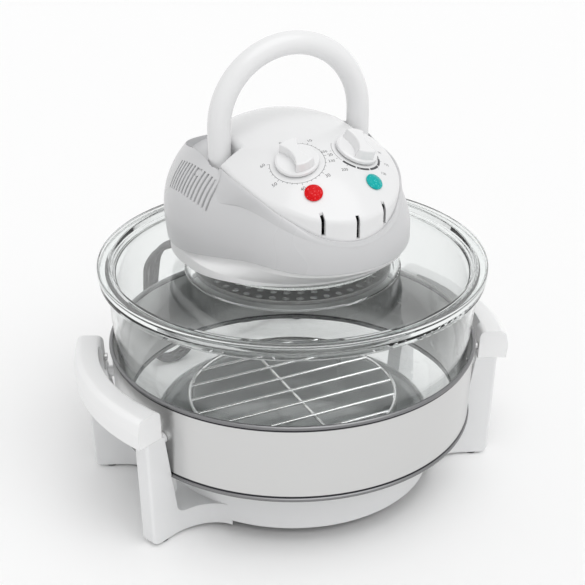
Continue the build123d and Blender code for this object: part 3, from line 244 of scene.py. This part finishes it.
def add_tie(name):
    """The band, as four strips joined into a ring."""
    low, high = -tie_height / 2, tie_height / 2
    edges = [(low, 0), (low, tie_thick), (high, tie_thick), (high, 0)]
    rings = [tie_ring(level, out) for level, out in edges]
    faces = []
    for strip in range(4):
        for side in range(tie_sides):
            first, second = strip * tie_sides, (strip + 1) % 4 * tie_sides
            after = (side + 1) % tie_sides
            faces.append((first + side, second + side, second + after, first + after))
    mesh = bpy.data.meshes.new(name)
    mesh.from_pydata([point for ring in rings for point in ring], [], faces)
    tie = bpy.data.objects.new(name, mesh)
    bpy.context.scene.collection.objects.link(tie)
    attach(tie, "lid")
    return tie


lead_tie = add_tie("lead_tie")
print("tie at", [round(v, 3) for v in in_hank(hank_half, tie_rise)])

# %% [markdown]
# ## Materials
#
# Each finish is a small node tree on one shader. A colour or number that is the same all over is
# set on the shader itself, and nodes only bring in what changes over the surface: gloss, grain,
# bump, the painted shade and reflection at the band's beads and the lenses' painted highlights.

# %% Material helpers
def new_material(name, color, roughness, **values):
    """A Principled material. Further values are set on the shader's own sockets."""
    material = bpy.data.materials.new(name)
    material.use_nodes = True
    shader = shader_of(material)
    shader.inputs["Base Color"].default_value = (*color, 1)
    shader.inputs["Roughness"].default_value = roughness
    for socket, value in values.items():
        shader.inputs[socket.replace("_", " ")].default_value = value
    return material


def shader_of(material):
    return material.node_tree.nodes["Principled BSDF"]


def node(material, kind, **values):
    """A node in the material's tree, with its inputs set by name."""
    made = material.node_tree.nodes.new("ShaderNode" + kind)
    for key, value in values.items():
        made.inputs[key.replace("_", " ")].default_value = value
    return made


def link(material, source, output, target, socket):
    """Joins an output of one node to an input of another, both by name."""
    material.node_tree.links.new(source.outputs[output], target.inputs[socket])


def spread(material, source, output, low, high, target, socket):
    """Turns a value of 0 to 1 into one of low to high, and joins it to an input."""
    mapped = node(material, "MapRange")
    mapped.inputs["To Min"].default_value = low
    mapped.inputs["To Max"].default_value = high
    link(material, source, output, mapped, "Value")
    link(material, mapped, "Result", target, socket)


def noise_on(material, scale, detail=2.0, stretch=(1, 1, 1)):
    """Noise over the piece, with positions in metres and stretched along its axes."""
    place = node(material, "TexCoord")
    mapping = node(material, "Mapping", Scale=stretch)
    noise = node(material, "TexNoise", Scale=scale, Detail=detail)
    link(material, place, "Object", mapping, "Vector")
    link(material, mapping, "Vector", noise, "Vector")
    return noise


def bump_from(material, source, output, height, under=None):
    """A bump of so many metres, over another bump if one is given."""
    bump = node(material, "Bump", Strength=1.0, Distance=height)
    link(material, source, output, bump, "Height")
    if under is not None:
        link(material, under, "Normal", bump, "Normal")
    link(material, bump, "Normal", shader_of(material), "Normal")
    return bump


print("helpers ready")

# %% [markdown]
# Moulded plastic is never dead flat: it has a fine skin like orange peel, a slow sink where ribs
# lie behind the wall, and a gloss that wanders a little. Two noises give the first two and the
# slow one moves the gloss. The Bevel node rounds the light on each hard edge by 0.6 mm, as a
# mould does. A little light goes into the plastic.

# %% Plastics
def moulded(name, color, low, high, grain=1400.0, skin=0.0000015, sink=0.00008, edge=0.0006):
    """Injection-moulded plastic with gloss from low to high roughness."""
    material = new_material(name, color, (low + high) / 2, IOR=1.49, Subsurface_Weight=0.05,
                            Subsurface_Radius=(0.004, 0.004, 0.004), Subsurface_Scale=0.5)
    fine = noise_on(material, grain)
    slow = noise_on(material, 14.0, 1.0)
    rounded = node(material, "Bevel", Radius=edge)
    under = bump_from(material, slow, "Fac", sink, rounded)
    bump_from(material, fine, "Fac", skin, under)
    spread(material, slow, "Fac", low, high, shader_of(material), "Roughness")
    return material


white_plastic = moulded("white_moulding", (0.80, 0.805, 0.81), 0.28, 0.38)
# The shell is the same white moulding as the panel; its greyer colour is painted shade for its sides.
shaded_shell_plastic = moulded("painted_shade_shell_moulding", (0.60, 0.602, 0.61), 0.24, 0.34)
knob_plastic = moulded("knob_moulding", (0.80, 0.802, 0.806), 0.18, 0.26, skin=0.000001)
panel_plastic = moulded("panel_moulding", (0.78, 0.782, 0.786), 0.16, 0.24)
# The grips' and the skirt's whiter colour is painted light.
grip_plastic = moulded("painted_light_grip_moulding", (0.90, 0.902, 0.904), 0.32, 0.42)
dark_plastic = moulded("dark_moulding", (0.05, 0.05, 0.055), 0.35, 0.5)
cord_rubber = moulded("cord_rubber", (0.035, 0.036, 0.038), 0.42, 0.58, grain=2200, skin=0.000006)
foot_rubber = moulded("foot_rubber", (0.03, 0.03, 0.03), 0.7, 0.85, grain=900, skin=0.00002)
seal_rubber = moulded("seal_rubber", (0.62, 0.62, 0.61), 0.4, 0.5)
winding_tape = moulded("winding_tape", (0.45, 0.28, 0.05), 0.5, 0.6, grain=500, skin=0.00003)
print("plastics:", len(bpy.data.materials))

# %% [markdown]
# Sheet steel shows the way it was worked. The band was brushed along its length, so its grain is
# noise squeezed sixty times in height, which reads as fine level scratches. Wire and pressed
# sheet only have a faint unevenness.

# %% Metals
def metal(name, color, low, high, scale, stretch=(1, 1, 1), height=0.00001, detail=4.0):
    """Bare metal whose gloss varies with its grain."""
    material = new_material(name, color, (low + high) / 2, Metallic=1.0)
    grain = noise_on(material, scale, detail, stretch)
    rounded = node(material, "Bevel", Radius=0.0003)
    bump_from(material, grain, "Fac", height, rounded)
    spread(material, grain, "Fac", low, high, shader_of(material), "Roughness")
    return material


band_steel = metal("brushed_band", (0.65, 0.65, 0.646), 0.24, 0.38, 40.0, (1, 1, 60), 0.000012)
bright_sheet = metal("bright_sheet", (0.74, 0.74, 0.73), 0.2, 0.34, 200.0)
# The heater guard is given a darker grey metal colour.
guard_sheet = metal("dark_grey_sheet", (0.24, 0.235, 0.23), 0.3, 0.45, 60.0)
bright_wire = metal("polished_wire", (0.78, 0.78, 0.78), 0.1, 0.2, 400.0)
plated_steel = metal("plated_steel", (0.62, 0.62, 0.62), 0.25, 0.4, 600.0)
lamination = metal("laminations", (0.2, 0.2, 0.21), 0.4, 0.55, 100.0, (1, 1, 60))
pin_brass = metal("pin_brass", (0.7, 0.5, 0.2), 0.25, 0.35, 500.0)
print("with metals:", len(bpy.data.materials))

# %% [markdown]
# Beside each rolled bead of the band a thin dark line of painted shade shows, where the sheet
# turns in round its wire and the gap lies in shade. The bead itself is painted darker, as a
# painted dark reflection on its round face. A ramp over height paints both, because both run all
# the way round at one level. Its heights are counted from the two edges of the band's own box.

# %% Painted shade at the band's beads
band_low, band_high = (corner.z for corner in map(Vector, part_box("steel_band")))
bead = 3.8 * mm
line_width = 1.5 * mm
line_softness = 0.3 * mm
# a painted dark reflection on the bead, and painted shade in the line beside it
painted_bead_reflection = (0.22, 0.22, 0.225, 1)
painted_gap_shade = (0.035, 0.035, 0.04, 1)


def add_bead_lines(material, low, high):
    """Paints a dark reflection on each bead, and painted shade in a thin line beside it."""
    place = node(material, "TexCoord")
    split = node(material, "SeparateXYZ")
    link(material, place, "Object", split, "Vector")
    height = node(material, "MapRange")
    height.inputs["From Min"].default_value = low
    height.inputs["From Max"].default_value = high
    link(material, split, "Z", height, "Value")
    ramp = node(material, "ValToRGB")
    link(material, height, "Result", ramp, "Fac")
    link(material, ramp, "Color", shader_of(material), "Base Color")
    bright = tuple(shader_of(material).inputs["Base Color"].default_value)
    last = (bead + line_width) / (high - low)
    first = last - line_width / (high - low)
    soft = line_softness / (high - low)
    stops = [(0.0, painted_bead_reflection), (first - soft, painted_bead_reflection)]
    stops += [(first, painted_gap_shade), (last, painted_gap_shade), (last + soft, bright)]
    stops += [(1 - share, color) for share, color in reversed(stops)]
    ramp.color_ramp.elements[0].color = painted_bead_reflection
    ramp.color_ramp.elements[1].color = painted_bead_reflection
    for share, color in stops[1:-1]:
        ramp.color_ramp.elements.new(share).color = color


add_bead_lines(band_steel, band_low, band_high)
print("band from", round(band_low, 4), "to", round(band_high, 4))

# %% [markdown]
# Clear glass is one closed solid with its real index. It takes away a little light along each
# ray's way, so its rims, seen through their length, draw themselves in grey-green. The moulded
# rims of an oven bowl are slightly wavy, so a very slow, shallow bump bends what is seen through
# them. The lamp lenses are not clear here: they are deep coloured plastic, and a Voronoi pattern
# gives them the bump of small prisms and painted highlights, a lighter colour at the prisms' tips.

# %% Glass and lenses
prism_scale = 420.0
prism_height = 0.0006
# the painted highlights: where their lighter colour begins to fade, and where it ends
glint_stops = (0.06, 0.30)  # where the tips' lighter colour begins to fade, and where it ends


def clear(name, color, wave, roughness=0.0, ior=1.47):
    """Clear glass with a slow wave of so many metres."""
    material = new_material(name, color, roughness, Transmission_Weight=1.0, IOR=ior)
    slow = noise_on(material, 18.0, 1.0)
    bump_from(material, slow, "Fac", wave)
    depth = node(material, "VolumeAbsorption", Color=(0.4, 0.5, 0.48, 1), Density=8.0)
    link(material, depth, "Volume", material.node_tree.nodes["Material Output"], "Volume")
    return material


def lens(name, color, glint):
    """A lamp's lens: deep colour, with painted highlights at the tips of small prisms."""
    material = new_material(name, color, 0.22, IOR=1.45, Specular_IOR_Level=0.2,
                            Emission_Color=(*color, 1), Emission_Strength=0.12)
    place = node(material, "TexCoord")
    prisms = node(material, "TexVoronoi", Scale=prism_scale)
    link(material, place, "Object", prisms, "Vector")
    bump_from(material, prisms, "Distance", prism_height)
    # Painted highlights: a lighter colour near the middle of each cell.
    tips = node(material, "ValToRGB")
    tips.color_ramp.elements[0].position = glint_stops[0]
    tips.color_ramp.elements[0].color = (*glint, 1)
    tips.color_ramp.elements[1].position = glint_stops[1]
    tips.color_ramp.elements[1].color = (*color, 1)
    link(material, prisms, "Distance", tips, "Fac")
    link(material, tips, "Color", shader_of(material), "Base Color")
    return material


oven_glass = clear("oven_glass", (0.985, 0.995, 0.992), 0.00012)
quartz = clear("quartz_tube", (0.97, 0.97, 0.95), 0.00002)
red_lens = lens("red_lens", (0.60, 0.001, 0.004), (0.80, 0.10, 0.11))
teal_lens = lens("teal_lens", (0.001, 0.36, 0.35), (0.10, 0.62, 0.59))
print("with glass and lenses:", len(bpy.data.materials))

# %% Dress the solids
finishes = {
    "white_plastic": white_plastic,
    "grip_plastic": grip_plastic,
    "panel_plastic": panel_plastic,
    "band_steel": band_steel,
    "bright_wire": bright_wire,
    "fastener_steel": plated_steel,
    "clear_glass": oven_glass,
    "lamp_glass": quartz,
    "foot_rubber": foot_rubber,
    "seal_rubber": seal_rubber,
    "sheet_metal": bright_sheet,
    "lamination_steel": lamination,
    "winding": winding_tape,
    "unit_body": dark_plastic,
    "shaft_metal": plated_steel,
    "red_lens": red_lens,
    "teal_lens": teal_lens,
    "cord_rubber": cord_rubber,
    "pin_brass": pin_brass,
}
own_finishes = {
    "guard_plate": guard_sheet,
    "head_shell": shaded_shell_plastic,
    "head_skirt": grip_plastic,
    "carry_handle": knob_plastic,
    "handle_pins": white_plastic,
    "timer_knob": knob_plastic,
    "temperature_knob": knob_plastic,
}
for entry in frame["record"]["subparts"]:
    solid = nodes[entry["node"]]
    solid.data.materials.clear()
    solid.data.materials.append(own_finishes.get(entry["node"], finishes[entry["material_slot"]]))
lead.data.materials.append(cord_rubber)
lead_tie.data.materials.append(dark_plastic)
print("dressed", len(nodes), "solids, the lead and its tie")

# %% [markdown]
# ## The shell's rolled lip
#
# Where the shell meets the control cover, its front edge is rolled outward into a soft lip. It
# starts broad beside the handle, sweeps down under the slots, where it is thin, and up again. It
# is a strip between two lines: its crest, which lies close by the cover, and its foot, where it
# runs out into the shell. Both are smooth lines through a few points, and rays drop the foot onto
# the shell, so that it meets the wall. A bulge between them gives the strip its round back.

# %% Rays against a solid
def surface_of(name):
    """A solid's surface, ready for rays."""
    mesh = nodes[name].data
    points = [vertex.co.copy() for vertex in mesh.vertices]
    return BVHTree.FromPolygons(points, [tuple(face.vertices) for face in mesh.polygons])


shell_surface = surface_of("head_shell")
cover_surface = surface_of("control_cover")
print("shell found at", shell_surface.ray_cast(Vector((0, -0.3, 0.27)), Vector((0, 1, 0)))[0])

# %% The lip's crest and foot, on one side, in mm across, back and up
crest_shape = [
    (0, -119.6, 273.6), (14, -117.6, 275.3), (26.5, -113.4, 278.4), (37.9, -106.6, 283.2),
    (47.8, -97.6, 289.9), (56.9, -85.4, 296), (64.8, -70.2, 303.3), (70.4, -50.6, 308.4),
    (72.6, -30, 310.4), (73.2, -12, 311),
]
foot_shape = [
    (0, -119, 267.5), (16, -116, 269), (30, -110, 272.5), (42, -101, 278), (54, -88, 284),
    (65, -72, 289.5), (74, -54, 291), (80, -41, 289), (84, -31, 287), (87, -18, 290),
]
lip_samples = 72
shell_heart = -20.0 * mm  # rays to the shell run toward this point in front of the middle
ray_start = 0.3  # from the heart, well outside the shell


def smooth_line(shape, samples):
    """Points of a Catmull-Rom line through the given ones, mirrored before the first."""
    given = np.array(shape) * mm
    at = np.linspace(0, len(given) - 1, samples)
    points = []
    for place in at:
        index = min(int(place), len(given) - 2)
        t = place - index
        before = given[max(index - 1, 0)] if index > 0 else given[1] * (-1, 1, 1)
        after = given[min(index + 2, len(given) - 1)]
        start, end = given[index], given[index + 1]
        bend = (2 * before - 5 * start + 4 * end - after) * t**2
        twist = (3 * start - before - 3 * end + after) * t**3
        points.append(Vector(0.5 * (2 * start + (end - before) * t + bend + twist)))
    return points


def on_shell(point):
    """The shell's outside at a point's height and direction from the heart, and its normal."""
    heart = Vector((0, shell_heart, point.z))
    outward = (point - heart).normalized()
    found, normal = shell_surface.ray_cast(heart + outward * ray_start, -outward)[:2]
    return found, normal


crest_line = smooth_line(crest_shape, lip_samples)
foot_line = [on_shell(point) for point in smooth_line(foot_shape, lip_samples)]
print("lip from", crest_line[0], "to", crest_line[-1])

# %% The lip's strip
lip_steps = 9
lip_bulge = 1.3 * mm
lip_bury = 0.4 * mm  # the foot's edge lies this far inside the shell's wall
lip_tuck = 1.2 * mm  # the crest's edge turns in this far
lip_thick = 0.8 * mm
lip_skew = 0.7  # below 1 the bulge is fullest nearer the crest
lip_heel = 0.35  # the crest itself stands this share of the bulge out
fade_sections = 9  # the bulge dies out over so many at each end


def lip_section(crest, foot, normal, fade):
    """Points over the lip's back, from inside the seam to inside the wall at its foot."""
    points = [crest - normal * lip_tuck]
    for t in np.linspace(0, 1, lip_steps):
        flat = crest.lerp(foot - normal * lip_bury, t)
        rise = sin(pi * t ** lip_skew) + lip_heel * (1 - t)
        points.append(flat + normal * lip_bulge * fade * rise)
    return points


def add_lip(name):
    """The strip on both sides, as one smooth sheet."""
    right = []
    for index, (crest, (foot, normal)) in enumerate(zip(crest_line, foot_line)):
        fade = min(1.0, (lip_samples - 1 - index) / fade_sections)
        right.append(lip_section(crest, foot, normal, fade))
    left = [[Vector((-point.x, point.y, point.z)) for point in section] for section in right[:0:-1]]
    sections = left + right
    mesh = bpy.data.meshes.new(name)
    width = len(sections[0])
    faces = []
    for row in range(len(sections) - 1):
        for step in range(width - 1):
            first = row * width + step
            faces.append((first, first + 1, first + 1 + width, first + width))
    mesh.from_pydata([point for section in sections for point in section], [], faces)
    for face in mesh.polygons:
        face.use_smooth = True
    mesh.materials.append(shaded_shell_plastic)
    lip = bpy.data.objects.new(name, mesh)
    bpy.context.scene.collection.objects.link(lip)
    thick = lip.modifiers.new("thickness", "SOLIDIFY")
    thick.thickness = lip_thick
    thick.offset = -1
    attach(lip, "lid")
    return lip


shell_lip = add_lip("shell_lip")
print("lip faces:", len(shell_lip.data.polygons))

# %% [markdown]
# The handle's pins go in from outside, through a bore on each side of the shell. A thin white
# plug closes each bore about a millimetre below the surface, and leans nearly as the wall does.

# %% Plugs in the pin bores
bore_middle = (5.0 * mm, 303.0 * mm)  # back and up
plug_radius = 3.0 * mm
plug_thick = 1.6 * mm
plug_face = 85.0 * mm  # its outer face, from the head's middle
plug_lean = (0.14, -0.78)  # outward over back, and outward over up
plug_corners = 32


def add_bore_plug(name, side):
    """A round plug between two leaning faces, on the left (side -1) or the right (side 1)."""
    points = []
    for face_place in (plug_face, plug_face - plug_thick):
        for corner in range(plug_corners):
            turn = 2 * pi * corner / plug_corners
            back = plug_radius * cos(turn)
            up = plug_radius * sin(turn)
            across = face_place + plug_lean[0] * back + plug_lean[1] * up
            points.append((side * across, bore_middle[0] + back, bore_middle[1] + up))
    outer = list(range(plug_corners))
    faces = [outer, [corner + plug_corners for corner in reversed(outer)]]
    for corner in outer:
        after = (corner + 1) % plug_corners
        faces.append([corner, corner + plug_corners, after + plug_corners, after])
    if side < 0:
        faces = [list(reversed(face)) for face in faces]
    mesh = bpy.data.meshes.new(name)
    mesh.from_pydata(points, [], faces)
    mesh.materials.append(shaded_shell_plastic)
    plug = bpy.data.objects.new(name, mesh)
    bpy.context.scene.collection.objects.link(plug)
    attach(plug, "lid")
    return plug


for side_name, side in (("left", -1), ("right", 1)):
    plug = add_bore_plug(f"bore_plug_{side_name}", side)
    print(plug.name, "corners:", len(plug.data.vertices))

# %% [markdown]
# ## What is printed round the dials
#
# The scales are a thin film of grey ink on a curved panel. Each is drawn flat, in millimetres
# round its own dial, and then every point is dropped onto the panel along the dial's axis. It
# stands 0.02 mm proud of it. Only plain numbers are set.

# %% Dial planes
ink_height = 0.02 * mm
drop_height = 40 * mm  # points start this far above the dial's middle


class Dial:
    """A flat drawing plane over one dial, with points dropped onto the panel."""

    def __init__(self, joint_name):
        joint = next(joint for joint in frame["joints"] if joint["name"] == joint_name)
        self.out = -Vector(joint["axis"]).normalized()
        self.middle = Vector(joint["pos_m"])
        self.up = (Vector((0, 1, 0)) - self.out * self.out.y).normalized()
        self.right = self.up.cross(self.out)

    def drop(self, x, y):
        """The point of the panel under a drawn point."""
        start = self.middle + (self.right * x + self.up * y) * mm + self.out * drop_height
        found = cover_surface.ray_cast(start, -self.out)[0]
        return found + self.out * ink_height


timer_dial = Dial("timer_turn")
thermostat_dial = Dial("thermostat_turn")
print("dials at", timer_dial.middle, thermostat_dial.middle)

# %% Strokes and numbers
def round_spot(radius, angle):
    """A drawn point at a clock angle in degrees, from the top."""
    return radius * sin(radians(angle)), radius * cos(radians(angle))


def arc_strip(radius, start, end, start_width, end_width, step=4.0):
    """An arc as a strip of four-cornered faces, its width changing evenly."""
    count = max(2, int(abs(end - start) / step) + 1)
    quads = []
    angles = np.linspace(start, end, count)
    for turn, after in zip(angles[:-1], angles[1:]):
        half, next_half = (np.interp(angle, (start, end), (start_width, end_width)) / 2
                           for angle in (turn, after))
        quads.append([round_spot(radius - half, turn), round_spot(radius + half, turn),
                      round_spot(radius + next_half, after), round_spot(radius - next_half, after)])
    return quads


def tick(radius, angle, length, width):
    """A short radial stroke."""
    half = degrees(width / 2 / radius)
    return [[round_spot(radius, angle - half), round_spot(radius + length, angle - half),
             round_spot(radius + length, angle + half), round_spot(radius, angle + half)]]


def number(text, x, y, size):
    """The faces of a set number, with its middle at a drawn point."""
    data = bpy.data.curves.new("figure", "FONT")
    data.body = text
    data.size = size
    data.align_x = "CENTER"
    data.align_y = "CENTER"
    figure = bpy.data.objects.new("figure", data)
    mesh = bpy.data.meshes.new_from_object(figure)
    faces = [[(mesh.vertices[i].co.x + x, mesh.vertices[i].co.y + y) for i in face.vertices]
             for face in mesh.polygons]
    bpy.data.objects.remove(figure)
    bpy.data.meshes.remove(mesh)
    return faces


def print_on(name, dial, faces):
    """Drops drawn faces onto the panel as one piece of ink."""
    points = []
    polygons = []
    for face in faces:
        polygons.append(range(len(points), len(points) + len(face)))
        points += [dial.drop(x, y) for x, y in face]
    mesh = bpy.data.meshes.new(name)
    mesh.from_pydata(points, [], polygons)
    mesh.materials.append(panel_ink)
    ink = bpy.data.objects.new(name, mesh)
    bpy.context.scene.collection.objects.link(ink)
    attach(ink, "lid")
    return ink


panel_ink = new_material("panel_ink", (0.055, 0.055, 0.06), 0.5)
ink_grain = noise_on(panel_ink, 2500.0, 2.0)
spread(panel_ink, ink_grain, "Fac", 0.35, 0.6, shader_of(panel_ink), "Roughness")
print("ink ready")

# %% The timer's scale
scale_radius = 22.5
figure_radius = 28.2
figure_size = 4.4
fine_line = 0.32
long_tick = 2.2
short_tick = 1.2
timer_turn = 300.0


def timer_scale():
    """Sixty minutes over most of a turn, numbered by tens."""
    faces = arc_strip(scale_radius, 0, timer_turn, fine_line, fine_line)
    for minute in range(0, 61, 2):
        angle = timer_turn * minute / 60
        length = long_tick if minute % 10 == 0 else short_tick
        faces += tick(scale_radius, angle, length, fine_line)
    for minute in range(0, 61, 10):
        x, y = round_spot(figure_radius, timer_turn * minute / 60)
        faces += number(str(minute), x, y, figure_size)
    return faces


timer_print = print_on("timer_print", timer_dial, timer_scale())
print("timer scale faces:", len(timer_print.data.polygons))

# %% [markdown]
# The thermostat's scale is an arc that thickens clockwise as the oven gets hotter. Four heavy
# blocks follow, and a light arc closes it on the left. Each number has a short tick.

# %% The thermostat's scale
heats = [("65", 42), ("90", 76), ("125", 108), ("150", 140)]
heats += [("200", 220), ("230", 246), ("250", 270)]
block_radius = 21.3
block_starts = [100, 134, 168, 202]
block_sweep = 31.0
block_width = 2.1
taper_angles = (4, 98)
taper_widths = (0.3, 1.9)
light_arc = (236, 300)
light_line = 0.3
heat_tick = (1.2, 1.5)  # where it starts outside the arc's middle line, and its length
heat_radius = figure_radius + 0.8
heat_size = figure_size * 0.86
top_mark = (-0.6, 2.4, 0.9)  # where it starts from the same line, its length and its width


def thermostat_scale():
    """The tapering arc, the four blocks, the ticks and the numbers."""
    faces = arc_strip(block_radius, *taper_angles, *taper_widths)
    for start in block_starts:
        faces += arc_strip(block_radius, start, start + block_sweep, block_width, block_width)
    faces += arc_strip(block_radius, *light_arc, light_line, light_line)
    for text, angle in heats:
        faces += tick(block_radius + heat_tick[0], angle, heat_tick[1], fine_line)
        x, y = round_spot(heat_radius, angle)
        faces += number(text, x, y, heat_size)
    faces += tick(block_radius + top_mark[0], 0, top_mark[1], top_mark[2])
    return faces


thermostat_print = print_on("thermostat_print", thermostat_dial, thermostat_scale())
print("thermostat scale faces:", len(thermostat_print.data.polygons))

# %% [markdown]
# ## Floor and light
#
# The table is a plain white sheet that keeps the oven's soft shadow. The surround is even white
# light. The camera, gloss and clear glass see it at full white, while it lights the oven more
# gently. A broad sun from above and in front gives the forms their shade, and it lights the whole
# table evenly.

# %% Floor
floor_gap = 0.2 * mm  # the floor lies this far below the feet, so that they share no face


def add_floor():
    half = 6.0
    mesh = bpy.data.meshes.new("floor")
    corners = [(-half, -half, 0), (half, -half, 0), (half, half, 0), (-half, half, 0)]
    mesh.from_pydata(corners, [], [(0, 1, 2, 3)])
    floor = bpy.data.objects.new("floor", mesh)
    floor.location.z = -floor_gap
    bpy.context.scene.collection.objects.link(floor)
    mesh.materials.append(new_material("white_table", (0.93, 0.93, 0.93), 0.6))
    return floor


floor = add_floor()
print("floor", floor.dimensions.x, "m wide")

# %% Surround
def add_world(plain, seen):
    """Even light of one strength, brighter to the camera, in gloss and through glass."""
    world = bpy.data.worlds.new("surround")
    bpy.context.scene.world = world
    world.use_nodes = True
    tree = world.node_tree
    background = tree.nodes["Background"]
    background.inputs["Color"].default_value = (1, 1, 1, 1)
    path = tree.nodes.new("ShaderNodeLightPath")
    most = path.outputs["Is Camera Ray"]
    for ray in ("Is Transmission Ray", "Is Glossy Ray"):
        either = tree.nodes.new("ShaderNodeMath")
        either.operation = "MAXIMUM"
        tree.links.new(most, either.inputs[0])
        tree.links.new(path.outputs[ray], either.inputs[1])
        most = either.outputs[0]
    strength = tree.nodes.new("ShaderNodeMapRange")
    strength.inputs["To Min"].default_value = plain
    strength.inputs["To Max"].default_value = seen
    tree.links.new(most, strength.inputs["Value"])
    tree.links.new(strength.outputs["Result"], background.inputs["Strength"])


add_world(plain=0.68, seen=1.0)
print("surround lit")

# %% Sun
def add_sun(name, place, angle, power):
    """A broad, even light that comes from one side."""
    data = bpy.data.lights.new(name, "SUN")
    data.angle = radians(angle)
    data.energy = power
    lamp = bpy.data.objects.new(name, data)
    lamp.rotation_mode = "QUATERNION"
    lamp.rotation_quaternion = (-Vector(place)).to_track_quat("-Z", "Y")
    bpy.context.scene.collection.objects.link(lamp)


add_sun("window", place=(0.1, -0.8, 1.7), angle=60, power=1.3)
bpy.context.scene.view_settings.view_transform = "Standard"
print("lights:", len(bpy.data.lights))
